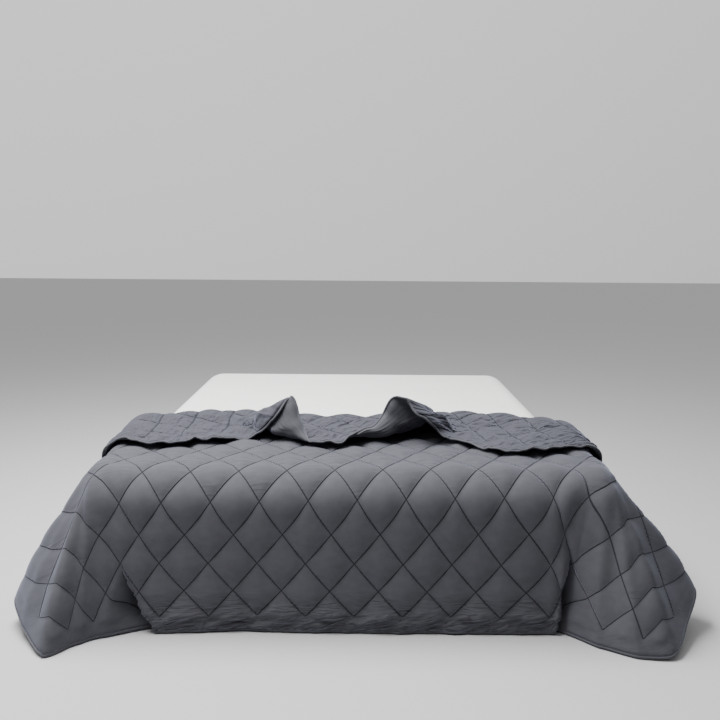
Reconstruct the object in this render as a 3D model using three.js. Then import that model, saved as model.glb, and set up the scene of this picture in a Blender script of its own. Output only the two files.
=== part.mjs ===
// A quilted blanket thrown crosswise over a plain queen bed.
//
// The blanket is one padded sheet, stitched in diamonds and bound all round. It hangs to the floor at the
// foot and at both sides, its foot corners flare out as cones, and its head end is turned back over itself.
// Frame, in millimetres: +X across the bed, +Y from the foot to the head, +Z up, z = 0 on the floor.
// y = 0 is the plane in which the blanket hangs at the foot, until the whole is centred at the end.

import * as THREE from 'three';
import { RoundedBoxGeometry } from 'three/addons/geometries/RoundedBoxGeometry.js';
import { mergeVertices } from 'three/addons/utils/BufferGeometryUtils.js';

// ---- Blanket, flat ----
const DIAMOND_WIDTH = 140;
const DIAMOND_HEIGHT = 212;
const DIAMONDS_ACROSS = 15;
const DIAMONDS_ALONG = 7;
const SIDE_BORDER = 65; // unquilted, from the outermost diamonds to the edge
const END_BORDER = 70;
const FLAT_WIDTH = DIAMONDS_ACROSS * DIAMOND_WIDTH + 2 * SIDE_BORDER;
const FLAT_LENGTH = DIAMONDS_ALONG * DIAMOND_HEIGHT + 2 * END_BORDER;
const HALF_WIDTH = FLAT_WIDTH / 2;
const HALF_COLUMN = DIAMOND_WIDTH / 2;
const HALF_ROW = DIAMOND_HEIGHT / 2;
const PUFF_THICKNESS = 13; // through the middle of a diamond
const SEAM_THICKNESS = 4; // where the layers are stitched together
const BORDER_THICKNESS = 6;

// ---- Edge binding ----
const BINDING_WIDTH = 8;
const SEWN_GAP = 0.8;

// ---- Bed ----
const MATTRESS_WIDTH = 1520;
const MATTRESS_LENGTH = 2030;
const MATTRESS_HEIGHT = 250;
const MATTRESS_EDGE = 100; // radius of its soft edges
const MATTRESS_TOP = 452;
const MATTRESS_SETBACK = 45; // from the plane in which the blanket hangs
const BASE_SETBACK = 60; // of the plinth, inside the mattress
const BASE_EDGE = 12;
const ROUNDING_STEPS = 5;
const REST_GAP = 0.3; // under a piece that rests on another

// ---- Blanket, as it lies ----
const TOP_HEIGHT = MATTRESS_TOP + PUFF_THICKNESS / 2 + REST_GAP; // of its middle layer
const HEM_HEIGHT = 5.5; // of the foot hem, just off the floor
const FOOT_BEND = 118; // radius of the bend over the foot edge
const SIDE_BEND = 60; // radius of the bend over the side edges
const SIDE_BEND_FROM = 300; // how far past the foot corner the hem is where that radius is reached
const TOP_HALF_WIDTH = 725; // of the flat part, between the bends
const FOOT_DROP = 630; // cloth from the flat part down to the foot hem
const LOWER_SLACK = 0.16; // how much more the cloth bunches near the floor than near the top
const SIDEWAYS = 12.5; // how far off centre the whole blanket lies
const TURN = 0.031; // how much the top is turned
const DRIFT = -0.085; // sideways shift for each millimetre towards the head
const TOP_SIDEWAYS = 11; // further off centre, of the part on the bed top
const SETTLED_ROWS = { from: 2, over: 3 }; // half diamonds from the foot in which turn and shift set in

// Where rays down the skirt end. "hem" is measured round the edge of the skirt from the middle of the foot,
// "past" the foot corner in the rows of the side; "out" is the distance from the middle of the bed, "ahead"
// the distance in front of the hanging plane, "rise" the height, and "belly" how far the ray bows out.
const LEFT_FOOT = [
  { fold: 'middle', hem: 0, out: 0, ahead: 12, rise: HEM_HEIGHT, belly: 0 },
  { fold: 'panel', hem: 450, out: 447, ahead: 12, rise: HEM_HEIGHT, belly: 0 },
  { fold: 'panel edge', hem: 550, out: 546, ahead: 24, rise: HEM_HEIGHT, belly: 0 },
  { fold: 'front fold', hem: 830, out: 716, ahead: 65, rise: HEM_HEIGHT, belly: 4 },
  { fold: 'near tip', hem: 970, out: 773, ahead: 112, rise: HEM_HEIGHT, belly: 8 },
];
const LEFT_SIDE = [
  { fold: 'corner', past: 0, out: 826, ahead: 172, rise: HEM_HEIGHT, belly: 10 },
  { fold: 'rise', past: 160, out: 913, ahead: 70, rise: 27, belly: 15 },
  { fold: 'ridge', past: 320, out: 988, ahead: -66, rise: 70, belly: 18 },
  { fold: 'back of ridge', past: 450, out: 925, ahead: -150, rise: 62, belly: 15 },
  { fold: 'valley', past: 570, out: 845, ahead: -200, rise: 52, belly: 6 },
  { fold: 'swell', past: 740, out: 885, ahead: -320, rise: 52, belly: 8 },
  { fold: 'side panel', past: 940, out: 805, ahead: -440, rise: 47, belly: 2 },
  { fold: 'side panel', past: 1200, out: 800, ahead: -690, rise: 47, belly: 0 },
  { fold: 'head', past: 1700, out: 800, ahead: -1190, rise: 47, belly: 0 },
];
const RIGHT_FOOT = [
  { fold: 'middle', hem: 0, out: 0, ahead: 12, rise: HEM_HEIGHT, belly: 0 },
  { fold: 'panel', hem: 460, out: 460, ahead: 12, rise: HEM_HEIGHT, belly: 0 },
  { fold: 'panel edge', hem: 570, out: 572, ahead: 12, rise: HEM_HEIGHT, belly: 0 },
  { fold: 'corner edge', hem: 740, out: 628, ahead: 34, rise: HEM_HEIGHT, belly: 2 },
  { fold: 'front fold', hem: 850, out: 695, ahead: 88, rise: HEM_HEIGHT, belly: 4 },
  { fold: 'near tip', hem: 990, out: 782, ahead: 150, rise: HEM_HEIGHT, belly: 8 },
];
const RIGHT_SIDE = [
  { fold: 'corner', past: 0, out: 878, ahead: 163, rise: HEM_HEIGHT + 6, belly: 10 },
  { fold: 'rise', past: 170, out: 962, ahead: 40, rise: 47, belly: 15 },
  { fold: 'ridge', past: 350, out: 1022, ahead: -98, rise: 107, belly: 18 },
  { fold: 'back of ridge', past: 470, out: 950, ahead: -180, rise: 92, belly: 15 },
  { fold: 'valley', past: 580, out: 865, ahead: -225, rise: 72, belly: 6 },
  { fold: 'swell', past: 760, out: 895, ahead: -340, rise: 67, belly: 8 },
  { fold: 'side panel', past: 960, out: 805, ahead: -460, rise: 57, belly: 2 },
  { fold: 'side panel', past: 1200, out: 800, ahead: -690, rise: 57, belly: 0 },
  { fold: 'head', past: 1700, out: 800, ahead: -1190, rise: 57, belly: 0 },
];

// The pleat beside each foot corner is a wedge that opens downwards from a point on the front of the drop.
// Its panel's edge, valley and corner's edge stray sideways by their share of the way down. "lean" is how far
// the valley slips towards the middle of the bed, and "hemDepth" the share of the depth left at the hem.
const LEFT_PLEAT = {
  across: 687.5,
  above: 282,
  panelEdge: -0.66,
  valley: -0.2,
  cornerEdge: 0.6,
  depth: 80,
  lean: 15,
  hemDepth: 0.5,
};
const RIGHT_PLEAT = {
  across: 660,
  above: 388,
  panelEdge: -0.62,
  valley: -0.14,
  cornerEdge: 0.34,
  depth: 62,
  lean: 0,
  hemDepth: 0.6,
};

const PLEAT_OPENING = 1.6; // how soon, going down, a pleat reaches its depth
const PLEAT_CLOSING = 2; // how fast it then gets shallower towards the hem, over the lower half

// Rows of a table, each turned into an object by the table's column names.
function table(columns, rows) {
  return rows.map((row) => Object.fromEntries(columns.map((name, k) => [name, row[k]])));
}

// The turned-back head end, from the left edge of the cloth to the right. Each row gives a line of cloth at
// "across": the place of its fold along the bed, where its hem lies ("hemX", "hemY"), how far the hem
// stands off the cloth below ("lift"), the radius of the fold itself ("nose"), and how late the line rises
// to its hem ("sweep"). "skew" is how far it strays sideways on its way, and "curl" how far it comes forward.
const TURN_BACK_COLUMNS = [
  'line', 'across', 'fold', 'hemX', 'hemY', 'lift', 'nose', 'sweep', 'skew', 'curl',
];
const TURN_BACK = table(TURN_BACK_COLUMNS, [
  ['left hang', -HALF_WIDTH, 600, -900, 420, 30, 18, 1.5, 0, 0],
  ['left edge', -760, 635, -560, 300, 34, 20, 1.5, 0, 0],
  ['left flap', -600, 675, -440, 365, 30, 21, 1.5, 0, 0],
  ['left foot', -463, 710, -305, 425, 32, 22, 1.5, 0, 0],
  ['left shoulder', -400, 715, -248, 410, 85, 22, 1.6, -20, 0],
  ['left horn', -315, 710, -182, 420, 150, 21, 2, -30, 0],
  ['left inner', -240, 690, -150, 390, 92, 20, 2.6, -35, 10],
  ['left heel', -165, 680, -134, 330, 32, 18, 2.2, -15, 5],
  ['middle', -100, 675, -90, 305, 28, 18, 1.5, 0, 0],
  ['right heel', -40, 675, -35, 315, 32, 18, 1.8, 0, 0],
  ['right roll', 40, 670, 22, 360, 58, 18, 2.8, 15, 15],
  ['right rise', 120, 675, 80, 400, 95, 19, 3.2, 45, 30],
  ['right horn', 185, 685, 112, 412, 158, 20, 3, 75, 15],
  ['right crest', 240, 700, 155, 388, 158, 20, 2.2, 70, 0],
  ['right brow', 280, 705, 181, 378, 126, 21, 1.5, 60, 0],
  ['right fall', 335, 705, 222, 375, 98, 22, 1.2, 40, 0],
  ['right foot', 435, 695, 304, 380, 34, 24, 1.2, 15, 0],
  ['right step', 520, 680, 374, 325, 30, 23, 1.3, 0, 0],
  ['right flap', 600, 665, 440, 245, 30, 21, 1.5, 0, 0],
  ['right belly', 720, 640, 545, 215, 32, 19, 1.5, 0, 0],
  ['right edge', 800, 625, 625, 255, 32, 18, 1.5, 0, 0],
  ['right hang', HALF_WIDTH, 600, 900, 430, 30, 18, 1.5, 0, 0],
]);
const STRAY_PEAK = 0.75; // share of the way from the fold to the hem at which a line strays most
const LAYER_REST = 30; // of the turned-back part over the cloth below, between its fold and its hem
const SETTLING = 2.5; // how soon, going on from its fold, it comes down to that

const clamp = (value, low, high) => Math.min(Math.max(value, low), high);
const ease = (value) => {
  const t = clamp(value, 0, 1);
  return t * t * (3 - 2 * t);
};
const mix = (a, b, share) => a + (b - a) * share;

// A smooth curve through one column of a table: cubic pieces that share their slopes.
function column(rows, place, key, at) {
  const last = rows.length - 1;
  let i = 0;
  while (i < last - 1 && at >= rows[i + 1][place]) i += 1;
  const step = (k) => rows[k + 1][place] - rows[k][place];
  const slope = (k) => (rows[k + 1][key] - rows[k][key]) / step(k);
  const slopeAt = (k) => {
    if (k === 0) return slope(0);
    if (k === last) return slope(last - 1);
    return (slope(k - 1) * step(k) + slope(k) * step(k - 1)) / (step(k - 1) + step(k));
  };
  const span = step(i);
  const t = Math.max((at - rows[i][place]) / span, 0);
  const t2 = t * t;
  const t3 = t2 * t;
  return (2 * t3 - 3 * t2 + 1) * rows[i][key] + (t3 - 2 * t2 + t) * span * slopeAt(i)
    + (3 * t2 - 2 * t3) * rows[i + 1][key] + (t3 - t2) * span * slopeAt(i + 1);
}

// Each side's skirt: its half of the flat width, and its rays by distance round the edge.
function skirtSide(halfWidth, foot, side, pleat) {
  const rays = [...foot, ...side.map((row) => ({ ...row, hem: halfWidth + row.past }))];
  return { halfWidth, rays, pleat };
}
const LEFT = skirtSide(HALF_WIDTH - SIDEWAYS, LEFT_FOOT, LEFT_SIDE, LEFT_PLEAT);
const RIGHT = skirtSide(HALF_WIDTH + SIDEWAYS, RIGHT_FOOT, RIGHT_SIDE, RIGHT_PLEAT);

// The cloth's own coordinates, u across and v from the foot hem, moved to where they lie over the bed.
function layAskew(u, v) {
  const row = (v - END_BORDER) / HALF_ROW;
  const share = clamp((row - SETTLED_ROWS.from) / SETTLED_ROWS.over, 0, 1);
  return {
    u: u + SIDEWAYS + TOP_SIDEWAYS * share + DRIFT * Math.max(v - FOOT_DROP, 0),
    v: v + TURN * u * share,
  };
}

// How far the pleat pushes a point of the drop in, towards the bed, and along it.
function pleatPush(pleat, a, v) {
  const below = pleat.above - v;
  if (below <= 0) return { inward: 0, sideways: 0 };
  const place = (a - pleat.across) / below;
  const edge = place < pleat.valley ? pleat.panelEdge : pleat.cornerEdge;
  const wall = ease((place - edge) / (pleat.valley - edge));
  const reach = below / pleat.above;
  const opened = ease(PLEAT_OPENING * reach) * wall;
  const atHem = mix(1, pleat.hemDepth, ease(PLEAT_CLOSING * reach - 1));
  return { inward: pleat.depth * opened * atHem, sideways: pleat.lean * opened };
}

// From the unrolled plane of the bed top to space. A point past the flat part lies on a ray that leaves it
// level, bends over the edge and runs straight to the hem.
function drape(u, v) {
  const side = u < 0 ? LEFT : RIGHT;
  const mirror = u < 0 ? -1 : 1;
  const a = Math.abs(u);
  const over = Math.max(a - TOP_HALF_WIDTH, 0);
  const down = Math.max(FOOT_DROP - v, 0);
  const flatY = FOOT_BEND + Math.max(v - FOOT_DROP, 0);
  if (over === 0 && down === 0) return new THREE.Vector3(u, flatY, TOP_HEIGHT);
  const overhang = side.halfWidth - TOP_HALF_WIDTH;
  const travelled = Math.hypot(over, down);
  const heading = Math.atan2(down, over);
  const endsAtFoot = down * overhang >= over * FOOT_DROP;
  const rayLength = endsAtFoot ? FOOT_DROP / Math.sin(heading) : overhang / Math.cos(heading);
  let hem = a;
  if (over > 0 && endsAtFoot) hem = TOP_HALF_WIDTH + (FOOT_DROP * over) / down;
  if (!endsAtFoot) hem = side.halfWidth + (down > 0 ? FOOT_DROP - (overhang * down) / over : v);
  const start = { out: Math.min(a, TOP_HALF_WIDTH), ahead: -flatY };
  const end = {
    out: column(side.rays, 'hem', 'out', hem),
    ahead: column(side.rays, 'hem', 'ahead', hem),
    drop: TOP_HEIGHT - column(side.rays, 'hem', 'rise', hem),
  };
  const pastFront = (hem - TOP_HALF_WIDTH) / (side.halfWidth + SIDE_BEND_FROM - TOP_HALF_WIDTH);
  const bend = mix(FOOT_BEND, SIDE_BEND, ease(pastFront));
  const away = Math.hypot(end.out - start.out, end.ahead - start.ahead);
  const toCentre = Math.hypot(away, end.drop - bend);
  const straight = Math.sqrt(toCentre * toCentre - bend * bend);
  const bendAngle = Math.atan2(end.drop - bend, away) + Math.asin(bend / toCentre);
  const bendLength = bend * bendAngle;
  let reach;
  let fall;
  if (travelled < bendLength) {
    reach = bend * Math.sin(travelled / bend);
    fall = bend * (1 - Math.cos(travelled / bend));
  } else {
    const share = (travelled - bendLength) / (rayLength - bendLength);
    const along = straight * (share * (1 + LOWER_SLACK) - LOWER_SLACK * share * share);
    reach = bend * Math.sin(bendAngle) + Math.cos(bendAngle) * along;
    fall = bend * (1 - Math.cos(bendAngle)) + Math.sin(bendAngle) * along;
  }
  const bow = Math.sin(Math.PI * clamp(travelled / rayLength, 0, 1));
  reach += column(side.rays, 'hem', 'belly', hem) * bow;
  const endHeading = Math.atan2(end.ahead - start.ahead, end.out - start.out);
  const turned = mix(heading, endHeading, ease(reach / away));
  const push = pleatPush(side.pleat, a, v);
  const out = start.out + reach * Math.cos(turned) - push.sideways;
  const ahead = start.ahead + reach * Math.sin(turned) - push.inward;
  return new THREE.Vector3(mirror * out, -ahead, TOP_HEIGHT - fall);
}

// The outward side of the draped cloth at a point of the unrolled plane.
function drapeNormal(u, v) {
  const step = 2;
  const across = drape(u + step, v).sub(drape(u - step, v));
  const along = drape(u, v + step).sub(drape(u, v - step));
  return across.cross(along).normalize();
}

const foldPlace = (u) => column(TURN_BACK, 'across', 'fold', u) - FOOT_BEND + FOOT_DROP - TURN * u;
const noseLength = (u) => Math.PI * column(TURN_BACK, 'across', 'nose', u);

// The middle layer of the blanket: from the flat cloth to space, turned back past its fold line.
function blanket(u, v) {
  const fold = foldPlace(u);
  const past = v - fold;
  const lies = layAskew(u, v);
  if (past <= 0) return drape(lies.u, lies.v);
  const at = layAskew(u, fold);
  const nose = column(TURN_BACK, 'across', 'nose', u);
  if (past < noseLength(u)) {
    const angle = past / nose;
    const ahead = at.v + nose * Math.sin(angle);
    const height = nose * (1 - Math.cos(angle));
    return drape(at.u, ahead).addScaledVector(drapeNormal(at.u, ahead), height);
  }
  const share = (past - noseLength(u)) / (FLAT_LENGTH - fold - noseLength(u));
  const row = (key) => column(TURN_BACK, 'across', key, u);
  const astray = (share ** 3 * (1 - share)) / (STRAY_PEAK ** 3 * (1 - STRAY_PEAK));
  const overU = mix(at.u, row('hemX'), share) + row('skew') * astray;
  const overV = mix(at.v, row('hemY') - FOOT_BEND + FOOT_DROP, share) - row('curl') * astray;
  const settled = mix(2 * nose, LAYER_REST, ease(SETTLING * share));
  const height = mix(settled, row('lift'), share ** row('sweep'));
  return drape(overU, overV).addScaledVector(drapeNormal(overU, overV), height);
}

// The side of the blanket's face at a point of the flat cloth.
function blanketNormal(u, v) {
  const step = 3;
  const across = blanket(u + step, v).sub(blanket(u - step, v));
  const along = blanket(u, v + step).sub(blanket(u, v - step));
  return across.cross(along).normalize();
}

// Full at the middle of each diamond, thin along its stitched sides, even in the border.
function thickness(u, v) {
  const acrossSeams = u / DIAMOND_WIDTH;
  const alongSeams = (v - END_BORDER) / DIAMOND_HEIGHT;
  const besideSeams = Math.abs(acrossSeams) > DIAMONDS_ACROSS / 2;
  if (besideSeams || alongSeams < 0 || alongSeams > DIAMONDS_ALONG) return BORDER_THICKNESS;
  const puff = Math.sin(Math.PI * (acrossSeams + alongSeams + DIAMONDS_ACROSS / 2 - 0.5))
    * Math.sin(Math.PI * (acrossSeams - alongSeams + DIAMONDS_ACROSS / 2 - 0.5));
  return mix(SEAM_THICKNESS, PUFF_THICKNESS, Math.sqrt(Math.abs(puff)));
}

// Places from one seam crossing to the last, one every half diamond, with more in the zones that bend
// tightly.
function seamPlaces(first, last, halfStep, zones) {
  const places = [];
  const steps = Math.round((last - first) / halfStep);
  for (let k = 0; k < steps; k += 1) {
    const at = first + k * halfStep;
    const zone = zones.find(({ from, to }) => at + halfStep / 2 > from && at + halfStep / 2 < to);
    const pieces = zone ? zone.pieces : 1;
    for (let n = 0; n < pieces; n += 1) places.push(at + (n * halfStep) / pieces);
  }
  places.push(last);
  return places;
}
const CLOTH_EDGE = BINDING_WIDTH + SEWN_GAP;
const ACROSS = [
  -HALF_WIDTH + CLOTH_EDGE,
  ...seamPlaces(-HALF_WIDTH + SIDE_BORDER, HALF_WIDTH - SIDE_BORDER, HALF_COLUMN, [
    { bend: 'left edge', from: -980, to: -560, pieces: 2 },
    { bend: 'left shoulder', from: -420, to: -350, pieces: 3 },
    { bend: 'left horn', from: -350, to: -210, pieces: 5 },
    { bend: 'left heel', from: -210, to: -140, pieces: 3 },
    { bend: 'middle', from: -140, to: 70, pieces: 2 },
    { bend: 'right horn', from: 70, to: 280, pieces: 3 },
    { bend: 'right fall', from: 280, to: 420, pieces: 2 },
    { bend: 'right edge', from: 560, to: 980, pieces: 2 },
  ]),
  HALF_WIDTH - CLOTH_EDGE,
];

// Lines across the cloth: along the seams up to the last one before the turned-back part, then following
// it.
const ROWS_TO_FOLD = 9;
const LAST_SEAM = END_BORDER + ROWS_TO_FOLD * HALF_ROW;
const FOOT_ZONE = { bend: 'foot', from: 400, to: 700, pieces: 3 };
const NOSE_STEPS = 5;
const UP_TO_FOLD = [0.4, 0.8];
const TURNED_BACK = [0.2, 0.42, 0.62, 0.78, 0.9, 1];
const roundNose = (share) => (u) => foldPlace(u) + noseLength(u) * share;
const ALONG = [
  () => CLOTH_EDGE,
  ...seamPlaces(END_BORDER, LAST_SEAM, HALF_ROW, [FOOT_ZONE]).map((v) => () => v),
  ...UP_TO_FOLD.map((share) => (u) => mix(LAST_SEAM, foldPlace(u), share)),
  ...Array.from({ length: NOSE_STEPS + 1 }, (_, k) => roundNose(k / NOSE_STEPS)),
  ...TURNED_BACK.map((share) => (u) => mix(foldPlace(u) + noseLength(u), FLAT_LENGTH - CLOTH_EDGE, share)),
];
const gridPoint = (i, j) => [ACROSS[i], ALONG[j](ACROSS[i])];

// One closed skin: the face, the reverse, and the rim that joins them.
function blanketGeometry() {
  const columns = ACROSS.length;
  const rows = ALONG.length;
  const positions = [];
  const layer = columns * rows;
  const at = (i, j, reverse) => reverse * layer + i * rows + j;
  for (const reverse of [0, 1]) {
    for (let i = 0; i < columns; i += 1) {
      for (let j = 0; j < rows; j += 1) {
        const [u, v] = gridPoint(i, j);
        const offset = (reverse ? -0.5 : 0.5) * thickness(u, v);
        positions.push(...blanket(u, v).addScaledVector(blanketNormal(u, v), offset));
      }
    }
  }
  const faces = [];
  const quad = (a, b, c, d) => faces.push(a, b, c, a, c, d);
  for (let i = 0; i + 1 < columns; i += 1) {
    for (let j = 0; j + 1 < rows; j += 1) {
      const corners = [[i, j], [i + 1, j], [i + 1, j + 1], [i, j + 1]];
      const thick = corners.map(([p, q]) => thickness(...gridPoint(p, q)));
      const turn = thick[0] + thick[2] <= thick[1] + thick[3] ? 0 : 1;
      const [a, b, c, d] = [0, 1, 2, 3].map((k) => corners[(k + turn) % 4]);
      quad(...[a, b, c, d].map(([p, q]) => at(p, q, 0)));
      quad(...[a, d, c, b].map(([p, q]) => at(p, q, 1)));
    }
  }
  const rim = (p, q) => quad(at(...p, 0), at(...p, 1), at(...q, 1), at(...q, 0));
  for (let i = 0; i + 1 < columns; i += 1) {
    rim([i, 0], [i + 1, 0]);
    rim([i + 1, rows - 1], [i, rows - 1]);
  }
  for (let j = 0; j + 1 < rows; j += 1) {
    rim([columns - 1, j], [columns - 1, j + 1]);
    rim([0, j + 1], [0, j]);
  }
  return solidGeometry(positions, faces);
}

// A narrow padded strip that follows the four edges of the cloth and meets itself at mitred corners.
function bindingGeometry() {
  const [right, head] = [ACROSS.length - 1, ALONG.length - 1];
  const count = (length, toPoint) => Array.from({ length }, (_, k) => toPoint(k));
  const edge = [
    ...count(right, (k) => gridPoint(k, 0)),
    ...count(head, (k) => gridPoint(right, k)),
    ...count(right, (k) => gridPoint(right - k, head)),
    ...count(head, (k) => gridPoint(0, head - k)),
  ];
  const rim = edge.map(([u, v]) => blanket(u, v));
  const section = [
    { outward: SEWN_GAP, up: 1 },
    { outward: SEWN_GAP, up: -1 },
    { outward: SEWN_GAP + BINDING_WIDTH, up: -1 },
    { outward: SEWN_GAP + BINDING_WIDTH, up: 1 },
  ];
  const positions = [];
  edge.forEach(([u, v], n) => {
    const normal = blanketNormal(u, v);
    const before = rim[n].clone().sub(rim.at(n - 1)).cross(normal).normalize();
    const after = rim[(n + 1) % rim.length].clone().sub(rim[n]).cross(normal).normalize();
    const mitre = before.clone().add(after).divideScalar(1 + before.dot(after));
    for (const { outward, up } of section) {
      positions.push(...rim[n].clone()
        .addScaledVector(mitre, outward)
        .addScaledVector(normal, (up * BORDER_THICKNESS) / 2));
    }
  });
  const faces = [];
  const at = (station, k) => (station % edge.length) * section.length + (k % section.length);
  for (let n = 0; n < edge.length; n += 1) {
    for (let k = 0; k < section.length; k += 1) {
      faces.push(at(n, k), at(n + 1, k + 1), at(n, k + 1), at(n, k), at(n + 1, k), at(n + 1, k + 1));
    }
  }
  return solidGeometry(positions, faces);
}

function solidGeometry(positions, faces) {
  const geometry = new THREE.BufferGeometry();
  geometry.setAttribute('position', new THREE.Float32BufferAttribute(positions, 3));
  geometry.setIndex(faces);
  return geometry;
}

// A soft-edged block, standing on "bottom", its foot end at "foot".
function block({ width, length, height, edge }, foot, bottom) {
  const rounded = new RoundedBoxGeometry(width, length, height, ROUNDING_STEPS, edge);
  rounded.deleteAttribute('normal');
  rounded.deleteAttribute('uv');
  const geometry = mergeVertices(rounded);
  geometry.translate(0, foot + length / 2, bottom + height / 2);
  return geometry;
}

function addNode(group, name, geometry, { colour, roughness }) {
  const material = new THREE.MeshStandardMaterial({ color: colour, roughness, metalness: 0 });
  const mesh = new THREE.Mesh(geometry, material);
  mesh.name = name;
  group.add(mesh);
}

const CHARCOAL_CLOTH = { colour: 0x55555c, roughness: 0.85 };
const GREY_TAPE = { colour: 0x6a6a72, roughness: 0.8 };
const WHITE_TICKING = { colour: 0xf4f3f0, roughness: 0.9 };
const PLAIN_BASE = { colour: 0xf0efec, roughness: 0.85 };

const bed = new THREE.Group();
addNode(bed, 'quilt', blanketGeometry(), CHARCOAL_CLOTH);
addNode(bed, 'edge_binding', bindingGeometry(), GREY_TAPE);
const mattress = {
  width: MATTRESS_WIDTH,
  length: MATTRESS_LENGTH,
  height: MATTRESS_HEIGHT,
  edge: MATTRESS_EDGE,
};
const base = {
  width: MATTRESS_WIDTH - 2 * BASE_SETBACK,
  length: MATTRESS_LENGTH - 2 * BASE_SETBACK,
  height: MATTRESS_TOP - MATTRESS_HEIGHT - REST_GAP,
  edge: BASE_EDGE,
};
const underMattress = MATTRESS_TOP - MATTRESS_HEIGHT;
addNode(bed, 'mattress', block(mattress, MATTRESS_SETBACK, underMattress), WHITE_TICKING);
addNode(bed, 'bed_base', block(base, MATTRESS_SETBACK + BASE_SETBACK, 0), PLAIN_BASE);

// The whole is centred over its footprint.
const box = new THREE.Box3().setFromObject(bed);
const centre = box.getCenter(new THREE.Vector3());
bed.position.set(-centre.x, -centre.y, 0);

export default bed;
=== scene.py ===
"""A charcoal quilted blanket thrown crosswise over the foot of a plain queen bed.

The blanket is one lightly filled sheet, stitched in diamonds and bound all round. It hangs to the floor at
the foot and at both sides, its foot corners flare out as cones, and its head end is turned back over itself
so that the reverse shows, with two raised horns in its hem. Lengths are in millimetres until a mesh is placed
in the frame, which is in metres.
"""

import logging
import math
from collections.abc import Sequence
from dataclasses import astuple, dataclass
from enum import Enum

import bmesh
import bpy
import numpy as np
from mathutils import Matrix, Vector


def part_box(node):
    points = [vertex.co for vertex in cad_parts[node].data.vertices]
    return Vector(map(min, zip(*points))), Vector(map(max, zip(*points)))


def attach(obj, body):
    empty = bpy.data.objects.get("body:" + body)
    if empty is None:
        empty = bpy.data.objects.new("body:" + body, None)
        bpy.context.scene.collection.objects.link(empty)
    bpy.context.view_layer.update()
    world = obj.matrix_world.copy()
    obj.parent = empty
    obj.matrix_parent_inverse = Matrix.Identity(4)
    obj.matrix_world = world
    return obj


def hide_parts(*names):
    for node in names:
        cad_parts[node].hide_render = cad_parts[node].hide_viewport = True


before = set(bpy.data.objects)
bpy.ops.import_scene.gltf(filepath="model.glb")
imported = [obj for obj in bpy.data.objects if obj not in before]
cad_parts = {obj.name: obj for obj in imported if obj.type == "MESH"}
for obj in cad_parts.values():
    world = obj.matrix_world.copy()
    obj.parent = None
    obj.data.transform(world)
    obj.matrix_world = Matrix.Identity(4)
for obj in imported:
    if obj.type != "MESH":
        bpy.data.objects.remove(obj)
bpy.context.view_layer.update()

log = logging.getLogger("quilted_blanket")

Array = np.ndarray
Place = tuple[float, float, float]
Socket = bpy.types.NodeSocket

MM = 0.001
TINY = 1e-9


def ease(value: Array) -> Array:
    """Goes smoothly from 0 to 1 as the value does."""
    t = np.clip(value, 0.0, 1.0)
    return t * t * (3.0 - 2.0 * t)


def mix(start: Array, end: Array, share: Array) -> Array:
    """Blends two values by a share from 0 to 1."""
    return start + (end - start) * share


def unit(vectors: Array) -> Array:
    """Scales each row to length one."""
    return vectors / np.maximum(np.linalg.norm(vectors, axis=-1, keepdims=True), TINY)


@dataclass(frozen=True)
class Fade:
    """A change from low to high while some measure goes from start to end, and none beyond them."""

    start: float
    end: float
    low: float = 0.0
    high: float = 1.0

    def at(self, measure: Array) -> Array:
        """The value at a measure, with a soft start and end."""
        return mix(self.low, self.high, ease((measure - self.start) / (self.end - self.start)))

    def sockets(self, measure: Socket) -> dict:
        """What a material's map of ranges takes to make the same change, evenly."""
        return {"Value": measure, 1: self.start, 2: self.end, 3: self.low, 4: self.high}


class SmoothCurve:
    """A smooth curve through one column of a table: cubic pieces that share their slopes."""

    def __init__(self, places: Sequence[float], values: Sequence[float]) -> None:
        """Works out the curve's slopes.

        Args:
            places: The rising places of the table's rows.
            values: The column's value in each row.
        """
        self.places = np.array(places, dtype=float)
        self.values = np.array(values, dtype=float)
        step = np.diff(self.places)
        slope = np.diff(self.values) / step
        inner = (slope[:-1] * step[1:] + slope[1:] * step[:-1]) / (step[:-1] + step[1:])
        self.slopes = np.concatenate([slope[:1], inner, slope[-1:]])

    def at(self, place: Array) -> Array:
        """Reads the curve.

        Args:
            place: Any places.

        Returns:
            The curve's value at each. Before the first row it is that row's, and past the last it runs on.
        """
        row = np.clip(np.searchsorted(self.places, place, side="right") - 1, 0, len(self.places) - 2)
        span = self.places[row + 1] - self.places[row]
        t = np.maximum((place - self.places[row]) / span, 0.0)
        t2, t3 = t * t, t * t * t
        start, end = self.values[row], self.values[row + 1]
        return (
            (2 * t3 - 3 * t2 + 1) * start
            + (t3 - 2 * t2 + t) * span * self.slopes[row]
            + (3 * t2 - 2 * t3) * end
            + (t3 - t2) * span * self.slopes[row + 1]
        )


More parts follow.
